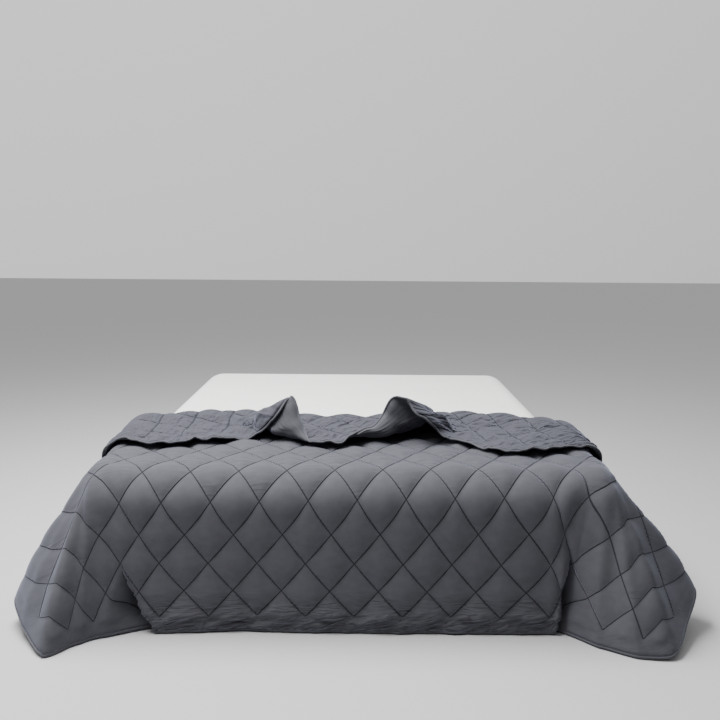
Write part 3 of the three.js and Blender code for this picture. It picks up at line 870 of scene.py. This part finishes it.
@dataclass(frozen=True, kw_only=True)
class BrushedQuiltFinish(ClothFinish):
    """Brushed microfibre, piece-dyed charcoal, with a matching grey reverse, lockstitched in diamonds.

    The nap catches light that grazes it, the thread sinks between the puffs, and the thin shell puckers into
    fine creases: in the lower corner of each diamond, at the hem of the front, on top, and most on the
    reverse. The seam lines are painted near-black, partly as the thread and partly as painted shade in the
    stitched grooves. The nap is as fine as the real one and only softens the shading; blotches and patches
    are the sizes over which the nap lies one way and the creases come and go.
    """

    face: str = "#4b4b50"
    reverse: str = "#414148"
    # Near-black seam colour: partly the thread, partly painted shade in the stitched grooves.
    thread: str = "#1d1d20"
    roughness: float = 0.86
    specular: float = 0.25
    sheen: float = 0.35
    sheen_roughness: float = 0.45
    sheen_tint: str = "#b4b8d0"
    seam_width: float = 3.0
    seam_blur: float = 0.6
    reverse_gather: float = 1.2
    nap: float = 1 / 4.5
    blotches: float = 28.571
    patches: float = 90.909
    blotching: Fade = Fade(0.3, 0.7, 0.92, 1.08)
    graining: Fade = Fade(0.25, 0.75, 0.93, 1.07)
    patching: Fade = Fade(0.36, 0.6, 0.15, 1.0)
    low_corner: Fade = Fade(-0.8, -0.25, 0.3, 0.02)
    near_hem: Fade = Fade(120.0, 50.0)
    on_panel: Fade = Fade(640.0, 720.0, 1.0, 0.05)
    on_top: Fade = Fade(480.0, 620.0, 0.0, 0.6)
    in_border: Fade = Fade(30.0, -10.0, 0.0, 2.4)
    fine_share: float = 0.5
    reverse_creasing: float = 0.8
    reverse_wrinkling: float = 1.9
    fine: Streaks = Streaks(90, 11)
    broad: Streaks = Streaks(130, 24)
    puckers: Streaks = Streaks(85, 30, -0.45)
    wrinkles: Streaks = Streaks(110, 34, 0.9)
    crease_relief: Relief = Relief(1.0, 0.0038)
    nap_relief: Relief = Relief(0.18, 0.0006)
    seam_relief: Relief = Relief(0.8, 0.003)

    def material(self, cloth: FlatCloth, uv_map: str, reverse_map: str) -> bpy.types.Material:
        """Builds the material.

        Args:
            cloth: The cloth whose seams it draws.
            uv_map: The map of the seam families' own coordinates.
            reverse_map: The attribute that is 1 on the reverse.

        Returns:
            The material.
        """
        board = NodeBoard.for_material("brushed_charcoal_quilt")
        place = ClothPlace(board, cloth, uv_map, reverse_map)
        seam = self.seam_mask(board, cloth, place)
        nap_inputs = {"Vector": place.flat, "Scale": 1 / self.nap, "Detail": 3.0}
        nap = board.add("TexNoise", nap_inputs, out="Fac")
        blotch_inputs = {"Vector": place.flat, "Scale": 1 / self.blotches, "Detail": 4.0}
        blotch = board.add("TexNoise", blotch_inputs, out="Fac")
        sides = {0: place.is_reverse, 6: linear_colour(self.face), 7: linear_colour(self.reverse)}
        base = board.add("Mix", sides, out=2, data_type="RGBA")
        blotched = board.add("MapRange", self.blotching.sockets(blotch))
        grained = board.add("MapRange", self.graining.sockets(nap))
        tone = board.add("Math", (blotched, grained), operation="MULTIPLY")
        toned = board.add("VectorMath", {0: base, "Scale": tone}, operation="SCALE")
        # Mixes in the seam lines: near-black for the thread and for painted shade in the stitched grooves.
        sewn_with_groove_shade = board.add("Mix", {0: seam, 6: toned, 7: linear_colour(self.thread)}, out=2, data_type="RGBA")
        creased = board.add("Bump", self.crease_relief.sockets(self.creases(board, place)))
        napped = board.add("Bump", self.nap_relief.sockets(nap, Normal=creased))
        sunk = board.add("Math", (1.0, seam), operation="SUBTRACT")
        stitched = board.add("Bump", self.seam_relief.sockets(sunk, Normal=napped))
        return board.finish(board.add("BsdfPrincipled", self.sockets(sewn_with_groove_shade, stitched)))

    def seam_mask(self, board: NodeBoard, cloth: FlatCloth, place: ClothPlace) -> Socket:
        """Finds the stitched lines, which the gathered shell makes wider on the reverse.

        Args:
            board: The material's nodes.
            cloth: The cloth whose seams they are.
            place: Where the point lies.

        Returns:
            1 on the thread and its painted groove shade, 0 beside it.
        """
        spacing = 1 / math.hypot(1 / cloth.diamond_width, 1 / cloth.diamond_height)
        half = self.seam_width / spacing / 2
        thread = Fade(half * (1 - self.seam_blur), half * (1 + self.seam_blur), 1.0, 0.0)
        near = []
        for among in (place.first, place.second):
            to_whole = board.add("Math", (among, 1.0), operation="PINGPONG")
            other = board.add("Math", (1.0, to_whole), operation="SUBTRACT")
            near.append(board.add("Math", (to_whole, other), operation="MINIMUM"))
        nearest = board.add("Math", tuple(near), operation="MINIMUM")
        wider = board.add("Math", (place.is_reverse, self.reverse_gather, 1.0), operation="MULTIPLY_ADD")
        narrowed = board.add("Math", (nearest, wider), operation="DIVIDE")
        mask = board.add("MapRange", thread.sockets(narrowed))
        half_length = cloth.length / 2 - cloth.end_border
        centred = board.add("Math", (place.along, half_length), operation="SUBTRACT")
        half_quilted = cloth.half_width - cloth.side_border
        for distance, limit in ((place.across, half_quilted), (centred, half_length)):
            away = board.add("Math", (distance,), operation="ABSOLUTE")
            inside = board.add("Math", (away, limit), operation="LESS_THAN")
            mask = board.add("Math", (mask, inside), operation="MULTIPLY")
        return mask

    def creases(self, board: NodeBoard, place: ClothPlace) -> Socket:
        """Adds up the fine creases.

        Args:
            board: The material's nodes.
            place: Where the point lies.

        Returns:
            Their height, from 0 up.
        """
        patch_inputs = {"Vector": place.flat, "Scale": 1 / self.patches, "Detail": 1.0}
        patch = board.add("TexNoise", patch_inputs, out="Fac")
        patchy = board.add("MapRange", self.patching.sockets(patch))
        rising = board.add("Math", (place.first,), operation="FRACT")
        falling = board.add("Math", (place.second,), operation="FRACT")
        height = board.add("Math", (rising, falling), operation="SUBTRACT")
        amount = board.add("MapRange", self.low_corner.sockets(height))
        beside = board.add("Math", (place.across,), operation="ABSOLUTE")
        on_panel = board.add("MapRange", self.on_panel.sockets(beside))
        near_hem = board.add("MapRange", self.near_hem.sockets(place.along))
        at_hem = board.add("Math", (near_hem, on_panel), operation="MULTIPLY")
        on_top = board.add("MapRange", self.on_top.sockets(place.along))
        rumpled = board.add("Math", (place.is_reverse, self.reverse_creasing), operation="MULTIPLY")
        for more in (at_hem, on_top, rumpled):
            amount = board.add("Math", (amount, more), operation="MAXIMUM")
        amount = board.add("Math", (amount, patchy), operation="MULTIPLY")
        fine, broad = self.fine.on(board, place.flat), self.broad.on(board, place.flat)
        straight = board.add("Math", (fine, self.fine_share, broad), operation="MULTIPLY_ADD")
        raised = board.add("Math", (straight, amount), operation="MULTIPLY")
        in_border = board.add("MapRange", self.in_border.sockets(place.along))
        bordered = board.add("Math", (in_border, on_panel), operation="MULTIPLY")
        turned_up = board.add("Math", (place.is_reverse, self.reverse_wrinkling), operation="MULTIPLY")
        for streaks, amount in ((self.puckers, bordered), (self.wrinkles, turned_up)):
            slanted = streaks.on(board, place.flat)
            raised = board.add("Math", (slanted, amount, raised), operation="MULTIPLY_ADD")
        return raised


@dataclass(frozen=True, kw_only=True)
class BindingFinish(ClothFinish):
    """Narrow woven tape, a shade lighter than the face.

    Its ribs and the nap of its folded edge give the hems a dull line. ribs holds a rib's size along the tape
    and round it.
    """

    colour: str = "#56575e"
    dark: str = "#404147"
    ribs: tuple[float, float] = (1 / 4.5, 1.25)
    relief: Relief = Relief(0.35, 0.0008)
    roughness: float = 0.82
    specular: float = 0.25
    sheen: float = 0.25
    sheen_roughness: float = 0.45

    def material(self) -> bpy.types.Material:
        """Builds the material, woven across the tape by the piece's own map in metres.

        Returns:
            The material.
        """
        board = NodeBoard.for_material("charcoal_binding_tape")
        tape = board.add("UVMap", uv_map=EdgeBinding.UV_MAP)
        to_rib = (1 / (self.ribs[0] * MM), 1 / (self.ribs[1] * MM), 1.0)
        place = board.add("VectorMath", (tape, to_rib), operation="MULTIPLY")
        rib = board.add("TexNoise", {"Vector": place, "Scale": 1.0, "Detail": 2.0}, out="Fac")
        colours = {0: rib, 6: linear_colour(self.dark), 7: linear_colour(self.colour)}
        colour = board.add("Mix", colours, out=2, data_type="RGBA")
        ribbed = board.add("Bump", self.relief.sockets(rib))
        return board.finish(board.add("BsdfPrincipled", self.sockets(colour, ribbed)))


class Weave(Enum):
    """The cloth that a bed part is covered in, with the spacing of its threads."""

    KNITTED_TICKING = 1 / 2.1
    PLAIN_WOVEN = 1 / 4.5


@dataclass(frozen=True, kw_only=True)
class CoverFinish(ClothFinish):
    """Off-white upholstery cloth, either knitted ticking or a plain weave.

    Its threads roughen it a little, and clouds are the sizes over which its white turns a little greyer.
    """

    name: str
    colour: str
    weave: Weave
    relief: Relief
    roughness: float = 0.9
    specular: float = 0.2
    sheen: float = 0.15
    sheen_roughness: float = 0.5
    clouds: float = 166.67
    clouding: Fade = Fade(0.3, 0.7, 0.96, 1.0)

    def material(self) -> bpy.types.Material:
        """Builds the material on the piece's own coordinates.

        Returns:
            The material.
        """
        board = NodeBoard.for_material(self.name)
        place = board.add("TexCoord", out="Object")
        thread_inputs = {"Vector": place, "Scale": 1 / (self.weave.value * MM), "Detail": 2.0}
        thread = board.add("TexNoise", thread_inputs, out="Fac")
        cloud_inputs = {"Vector": place, "Scale": 1 / (self.clouds * MM), "Detail": 3.0}
        cloud = board.add("TexNoise", cloud_inputs, out="Fac")
        tone = board.add("MapRange", self.clouding.sockets(cloud))
        white = linear_colour(self.colour)[:3]
        clouded = board.add("VectorMath", {0: white, "Scale": tone}, operation="SCALE")
        woven = board.add("Bump", self.relief.sockets(thread))
        return board.finish(board.add("BsdfPrincipled", self.sockets(clouded, woven)))


@dataclass(frozen=True)
class FloorFinish:
    """Matt pale floor paint, which takes a soft shadow and shows no reflection."""

    colour: str = "#bdbdbf"
    roughness: float = 0.9

    def material(self) -> bpy.types.Material:
        """Builds the material.

        Returns:
            The material.
        """
        board = NodeBoard.for_material("pale_floor")
        inputs = {"Base Color": linear_colour(self.colour), "Roughness": self.roughness}
        return board.finish(board.add("BsdfPrincipled", inputs))


def add_piece(name: str, mesh: bpy.types.Mesh, material: bpy.types.Material) -> bpy.types.Object:
    """Puts a finished mesh in the scene.

    Args:
        name: The piece's name.
        mesh: Its mesh, already in its place.
        material: Its finish.

    Returns:
        The new object, at the origin.
    """
    mesh.materials.append(material)
    mesh.shade_smooth()
    piece = bpy.data.objects.new(name, mesh)
    bpy.context.scene.collection.objects.link(piece)
    return piece


def mesh_points(mesh: bpy.types.Mesh) -> Array:
    """Reads a mesh's vertex positions.

    Args:
        mesh: The mesh.

    Returns:
        The positions, one row each.
    """
    points = np.empty(len(mesh.vertices) * 3)
    mesh.vertices.foreach_get("co", points)
    return points.reshape(-1, 3)


def set_mesh_points(mesh: bpy.types.Mesh, points: Array) -> None:
    """Moves a mesh's vertices."""
    mesh.vertices.foreach_set("co", points.astype(np.float32).ravel())
    mesh.update()


def set_uv(mesh: bpy.types.Mesh, name: str, points: Array) -> None:
    """Adds a map to a mesh.

    Args:
        mesh: The mesh.
        name: The map's name.
        points: Two coordinates for each vertex.
    """
    corners = np.empty(len(mesh.loops), dtype=np.int32)
    mesh.loops.foreach_get("vertex_index", corners)
    layer = mesh.uv_layers.new(name=name)
    layer.uv.foreach_set("vector", points[corners].astype(np.float32).ravel())


def grid_mesh(name: str, columns: int, rows: int, thickness: float = 0.0) -> bpy.types.Mesh:
    """Makes a flat grid over 0 to 1 each way, or a closed slab of it.

    Args:
        name: The mesh's name.
        columns: Cells along x.
        rows: Cells along y.
        thickness: The slab's depth below z = 0, or nothing for an open grid.

    Returns:
        The mesh.
    """
    bm = bmesh.new()
    bmesh.ops.create_grid(bm, x_segments=columns, y_segments=rows, size=0.5)
    bmesh.ops.translate(bm, verts=bm.verts[:], vec=(0.5, 0.5, 0.0))
    if thickness:
        bmesh.ops.solidify(bm, geom=bm.faces[:], thickness=thickness)
        bmesh.ops.recalc_face_normals(bm, faces=bm.faces[:])
    mesh = bpy.data.meshes.new(name)
    bm.to_mesh(mesh)
    bm.free()
    return mesh


@dataclass
class Quilt:
    """The blanket itself: one closed padded sheet, face and reverse, seams along its mesh's diagonals.

    Its mesh has cells lines to half a diamond, and twice as many in the half diamonds of fold_rows, where the
    cloth turns back. It starts as a flat slab, slab thick and one across, and is then draped. pleat_squeeze
    is the share of the padding that the pleats press out.
    """

    drape: Drape
    finish: BrushedQuiltFinish
    cells: int = 9
    border_cells: int = 6
    fold_rows: tuple[int, int] = (10, 14)
    rim_inset: float = 8.5
    pleat_squeeze: float = 0.8
    slab: float = 0.01
    waves: int = 5
    wave_height: float = 1.0
    wave_lengths: tuple[float, float] = (260.0, 620.0)
    wave_slant: float = 0.35
    seed: int = 11
    hanging_at_foot: Fade = Fade(520.0, 100.0)
    hanging_at_sides: Fade = Fade(800.0, 1000.0)
    cuff_creases: Creases = Creases(height=15, shortest=30, longest=62, slant=1.15, families=6, seed=4)
    on_cuff: Fade = Fade(75.0, 135.0)
    top_creases: Creases = Creases(height=6, shortest=36, longest=70, slant=0.5, families=4, seed=9)
    on_top: Fade = Fade(560.0, 680.0)
    before_fold: Fade = Fade(0.0, -60.0)
    hem_puckers: Creases = Creases(
        height=15, shortest=36, longest=58, slant=0.3, families=3, seed=21, heading=-0.5
    )
    on_hem: Fade = Fade(130.0, 60.0)
    on_panel: Fade = Fade(700.0, 580.0)
    out_of_pleat: Fade = Fade(0.0, 1 / 3, 1.0, 0.0)

    NAME = "quilted_blanket"
    UV_MAP = "seams"
    REVERSE_MAP = "reverse"

    def lines(self, border: float, half: float, count: int, dense: tuple[int, int] = (0, 0)) -> Array:
        """Where the mesh's lines lie along one direction of the flat cloth.

        Args:
            border: The distance from the edge of the cloth to the first seam crossings.
            half: Half a diamond.
            count: How many half diamonds there are.
            dense: The first half diamond that gets twice the lines, and the first after it that doesn't.

        Returns:
            The lines' places.
        """
        rim = np.linspace(self.rim_inset, border, self.border_cells + 1)
        inner = []
        for k in range(count):
            cells = self.cells * (2 if dense[0] <= k < dense[1] else 1)
            inner.append(border + half * (k + np.arange(cells) / cells))
        total = 2 * border + count * half
        return np.concatenate([rim[:-1], *inner, total - rim[::-1]])

    def undulation(self, u: Array, v: Array) -> Array:
        """Soft waves where the cloth hangs, and its creases on top, at the hem and on the turned-back end.

        Args:
            u: Across the cloth.
            v: From the foot hem.

        Returns:
            How far each point stands out.
        """
        draw = np.random.default_rng(self.seed)
        wave = np.zeros_like(u)
        for _ in range(self.waves):
            length, slant = draw.uniform(*self.wave_lengths), draw.uniform(-self.wave_slant, self.wave_slant)
            wave += np.sin(2 * math.pi * (u + slant * v) / length + draw.uniform(0, 2 * math.pi))
        hanging = np.maximum(self.hanging_at_foot.at(v), self.hanging_at_sides.at(np.abs(u)))
        past_fold = v - self.drape.fold_line(u)
        on_top = self.on_top.at(v) * self.before_fold.at(past_fold)
        on_hem = self.on_hem.at(v) * self.on_panel.at(np.abs(u))
        on_hem = on_hem * self.out_of_pleat.at(self.drape.squeezed(u, v))
        rumpled = self.top_creases.at(u, v) * on_top + self.hem_puckers.at(u, v) * on_hem
        turned_back = self.cuff_creases.at(u, v) * self.on_cuff.at(past_fold)
        return self.wave_height * wave * hanging + rumpled - turned_back

    def build(self) -> bpy.types.Object:
        """Returns:
            The piece.
        """
        cloth = self.drape.cloth
        half_diamonds = 2 * cloth.diamonds_across, 2 * cloth.diamonds_along
        across = self.lines(cloth.side_border, cloth.diamond_width / 2, half_diamonds[0]) - cloth.half_width
        along = self.lines(cloth.end_border, cloth.diamond_height / 2, half_diamonds[1], self.fold_rows)
        mesh = grid_mesh(self.NAME, len(across) - 1, len(along) - 1, self.slab)
        flat = mesh_points(mesh)
        column = np.rint(flat[:, 0] * (len(across) - 1)).astype(int)
        row = np.rint(flat[:, 1] * (len(along) - 1)).astype(int)
        on_face = flat[:, 2] > flat[:, 2].mean()
        u, v = np.meshgrid(across, along, indexing="ij")
        middle = self.drape.place(u, v)
        normal = unit(np.cross(np.gradient(middle, axis=0), np.gradient(middle, axis=1)))
        middle = middle + normal * self.undulation(u, v)[..., None]
        half = cloth.thickness(u, v) / 2 * (1 - self.pleat_squeeze * self.drape.squeezed(u, v))
        side = np.where(on_face, 1.0, -1.0)
        points = middle[column, row] + normal[column, row] * (side * half[column, row])[:, None]
        set_mesh_points(mesh, in_frame(points))
        set_uv(mesh, self.UV_MAP, np.stack(cloth.lattice(u, v), axis=-1)[column, row])
        reverse = mesh.attributes.new(self.REVERSE_MAP, "FLOAT", "POINT")
        reverse.data.foreach_set("value", (~on_face).astype(np.float32))
        piece = add_piece(self.NAME, mesh, self.finish.material(cloth, self.UV_MAP, self.REVERSE_MAP))
        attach(piece, "root")
        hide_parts("quilt")
        return piece


@dataclass
class EdgeBinding:
    """The narrow padded tape that closes the blanket's four edges, mitred at its corners."""

    drape: Drape
    quilt: Quilt
    finish: BindingFinish
    half_width: float = 4.2
    half_thickness: float = 3.3
    bite: float = 1.0
    sides: int = 12
    spacing: float = 9.0
    slope_step: float = 3.0
    sharpest_mitre: float = 0.5
    weld: float = 0.01 * MM

    NAME = "binding_tape"
    UV_MAP = "tape"

    def edge_loop(self) -> tuple[Array, Array]:
        """Walks round the rim of the cloth, anticlockwise from the left foot corner.

        Returns:
            The flat coordinates of its stations.
        """
        cloth, inset = self.drape.cloth, self.quilt.rim_inset
        right, head = cloth.half_width - inset, cloth.length - inset
        corners = [(-right, inset), (right, inset), (right, head), (-right, head), (-right, inset)]
        u, v = [], []
        for (u0, v0), (u1, v1) in zip(corners, corners[1:]):
            count = round(math.hypot(u1 - u0, v1 - v0) / self.spacing)
            share = np.arange(count) / count
            u.append(mix(u0, u1, share))
            v.append(mix(v0, v1, share))
        return np.concatenate(u), np.concatenate(v)

    def build(self) -> bpy.types.Object:
        """Returns:
            The piece.
        """
        u, v = self.edge_loop()
        rim = self.drape.place(u, v)
        step = self.slope_step
        slope_u = self.drape.place(u + step, v) - self.drape.place(u - step, v)
        slope_v = self.drape.place(u, v + step) - self.drape.place(u, v - step)
        normal = unit(np.cross(slope_u, slope_v))
        rim = rim + normal * self.quilt.undulation(u, v)[:, None]
        ahead = np.roll(rim, -1, axis=0) - rim
        after = unit(np.cross(ahead, normal))
        before = unit(np.cross(np.roll(ahead, 1, axis=0), normal))
        alike = 1 + (before * after).sum(axis=1)
        mitre = (before + after) / np.maximum(alike, self.sharpest_mitre)[:, None]
        mesh = grid_mesh(self.NAME, len(u), self.sides)
        flat = mesh_points(mesh)
        station = np.rint(flat[:, 0] * len(u)).astype(int)
        angle = 2 * math.pi * flat[:, 1]
        at = station % len(u)
        outward = self.half_width * (1 + np.cos(angle)) - self.bite
        upward = self.half_thickness * np.sin(angle)
        points = rim[at] + mitre[at] * outward[:, None] + normal[at] * upward[:, None]
        set_mesh_points(mesh, in_frame(points))
        travelled = np.concatenate([[0.0], np.cumsum(np.linalg.norm(ahead, axis=1))])
        around = flat[:, 1] * 2 * math.pi * self.half_width
        set_uv(mesh, self.UV_MAP, np.stack([travelled[station], around], axis=-1) * MM)
        self.close(mesh)
        piece = add_piece(self.NAME, mesh, self.finish.material())
        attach(piece, "root")
        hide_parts("edge_binding")
        return piece

    def close(self, mesh: bpy.types.Mesh) -> None:
        """Welds the tape to itself along its length and where its ends meet, faces out.

        Args:
            mesh: The tape's mesh.
        """
        bm = bmesh.new()
        bm.from_mesh(mesh)
        bmesh.ops.remove_doubles(bm, verts=bm.verts[:], dist=self.weld)
        bmesh.ops.recalc_face_normals(bm, faces=bm.faces[:])
        bm.to_mesh(mesh)
        bm.free()


@dataclass
class Mattress:
    """A plain queen mattress with soft edges."""

    width: float = 1520.0
    length: float = 2030.0
    height: float = 250.0
    top: float = 446.0
    edge: float = 100.0
    setback: float = 45.0
    edge_steps: int = 9

    NAME = "plain_mattress"

    def build(self, finish: CoverFinish) -> bpy.types.Object:
        """Args:
            finish: Its cover.

        Returns:
            The piece.
        """
        size = (self.width, self.length, self.height)
        middle = (0.0, self.setback + self.length / 2, self.top - self.height / 2)
        mesh = soft_block(self.NAME, size, middle, self.edge, self.edge_steps)
        piece = add_piece(self.NAME, mesh, finish.material())
        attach(piece, "root")
        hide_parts("mattress")
        return piece


@dataclass
class BedBase:
    """A plain plinth that carries the mattress, flat on the floor."""

    setback: float = 60.0
    edge: float = 12.0
    rest_gap: float = 0.3
    edge_steps: int = 5

    NAME = "plain_bed_base"

    def build(self, mattress: Mattress, finish: CoverFinish) -> bpy.types.Object:
        """Args:
            mattress: The mattress that it carries.
            finish: Its cover.

        Returns:
            The piece.
        """
        height = mattress.top - mattress.height - self.rest_gap
        size = (mattress.width - 2 * self.setback, mattress.length - 2 * self.setback, height)
        middle = (0.0, mattress.setback + mattress.length / 2, height / 2)
        mesh = soft_block(self.NAME, size, middle, self.edge, self.edge_steps)
        piece = add_piece(self.NAME, mesh, finish.material())
        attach(piece, "root")
        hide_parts("bed_base")
        return piece


def soft_block(name: str, size: Place, middle: Place, edge: float, steps: int) -> bpy.types.Mesh:
    """Makes a block with rounded edges.

    Args:
        name: The mesh's name.
        size: Its sides.
        middle: Its centre, in the bed's own place.
        edge: The radius of its edges.
        steps: Cuts across each rounded edge.

    Returns:
        The mesh, in the shared frame.
    """
    bm = bmesh.new()
    bmesh.ops.create_cube(bm, size=1.0)
    bmesh.ops.scale(bm, vec=size, verts=bm.verts[:])
    edges = bm.edges[:]
    bmesh.ops.bevel(bm, geom=edges, offset=edge, affect="EDGES", segments=steps, profile=0.5, material=-1)
    bmesh.ops.translate(bm, vec=middle, verts=bm.verts[:])
    mesh = bpy.data.meshes.new(name)
    bm.to_mesh(mesh)
    bm.free()
    set_mesh_points(mesh, in_frame(mesh_points(mesh)))
    return mesh


@dataclass(frozen=True)
class Softbox:
    """A soft rectangular light above the foot of the bed: its place and what it faces, in metres."""

    place: Place = (-1.0, -0.62, 3.1)
    target: Place = (-0.1, -0.85, 0.3)
    width: float = 2.8
    height: float = 1.1
    power: float = 268.0

    def build(self) -> None:
        """Hangs the light."""
        data = bpy.data.lights.new("overhead_softbox", "AREA")
        data.shape = "RECTANGLE"
        data.size, data.size_y = self.width, self.height
        data.energy = self.power
        light = bpy.data.objects.new("overhead_softbox", data)
        light.location = self.place
        light.rotation_euler = (Vector(self.target) - Vector(self.place)).to_track_quat("-Z", "Y").to_euler()
        bpy.context.scene.collection.objects.link(light)


@dataclass
class Studio:
    """The floor, the lights and the camera, which stands in millimetres in the bed's own place."""

    softbox: Softbox = Softbox()
    floor_size: float = 40.0
    camera_place: Place = (24.5, -2441.0, 1132.0)
    pitch: float = 7.87
    roll: float = -0.44
    lens: float = 44.43
    sensor: float = 36.0
    bright_side: Place = (-0.3, 0.7, 0.65)
    brightening: Fade = Fade(-0.45, 0.9, 0.05, 1.0)

    def build(self) -> None:
        """Lays the floor and sets up the lights and the camera."""
        mesh = grid_mesh("studio_floor", 1, 1)
        set_mesh_points(mesh, (mesh_points(mesh) - (0.5, 0.5, 0.0)) * self.floor_size)
        floor = add_piece("studio_floor", mesh, FloorFinish().material())
        self.add_world()
        self.softbox.build()
        self.add_camera()

    def add_world(self) -> None:
        """A pale surrounding, brightest above and beyond the head of the bed."""
        board = NodeBoard(bpy.data.worlds.new("studio"), "OutputWorld")
        towards = board.add("TexCoord", out="Generated")
        facing = board.add("VectorMath", (towards, self.bright_side), out="Value", operation="DOT_PRODUCT")
        strength = board.add("MapRange", self.brightening.sockets(facing))
        inputs = {"Color": linear_colour("#ffffff"), "Strength": strength}
        bpy.context.scene.world = board.finish(board.add("Background", inputs))

    def add_camera(self) -> None:
        """Stands the camera at the foot of the bed, level with a seated eye, looking slightly down."""
        data = bpy.data.cameras.new("camera")
        data.sensor_width = self.sensor
        data.lens = self.lens
        camera = bpy.data.objects.new("camera", data)
        pitch, roll = math.radians(self.pitch), math.radians(self.roll)
        turned = Matrix.Rotation(math.pi / 2 - pitch, 4, "X") @ Matrix.Rotation(-roll, 4, "Z")
        place = in_frame(np.array(self.camera_place))
        camera.matrix_world = Matrix.Translation(Vector(place)) @ turned
        bpy.context.scene.collection.objects.link(camera)
        bpy.context.scene.camera = camera


def report(piece: bpy.types.Object) -> None:
    """Logs a piece's name and how finely it is made."""
    log.info("%s: %d faces", piece.name, len(piece.data.polygons))


def main() -> None:
    """Builds the studio, the bed and the blanket, in that order."""
    logging.basicConfig(level=logging.INFO, format="%(message)s")
    Studio().build()
    mattress = Mattress()
    knitted, woven = Weave.KNITTED_TICKING, Weave.PLAIN_WOVEN
    ticking = CoverFinish(name="white_ticking", colour="#f3f2ef", weave=knitted, relief=Relief(0.25, 0.0012))
    cover = CoverFinish(name="white_base_cloth", colour="#efeeeb", weave=woven, relief=Relief(0.25, 0.0006))
    report(mattress.build(ticking))
    report(BedBase().build(mattress, cover))
    drape = Drape(FLAT)
    quilt = Quilt(drape, BrushedQuiltFinish())
    blanket = quilt.build()
    report(blanket)
    binding = EdgeBinding(drape, quilt, BindingFinish()).build()
    report(binding)


if __name__ == "__main__":
    main()
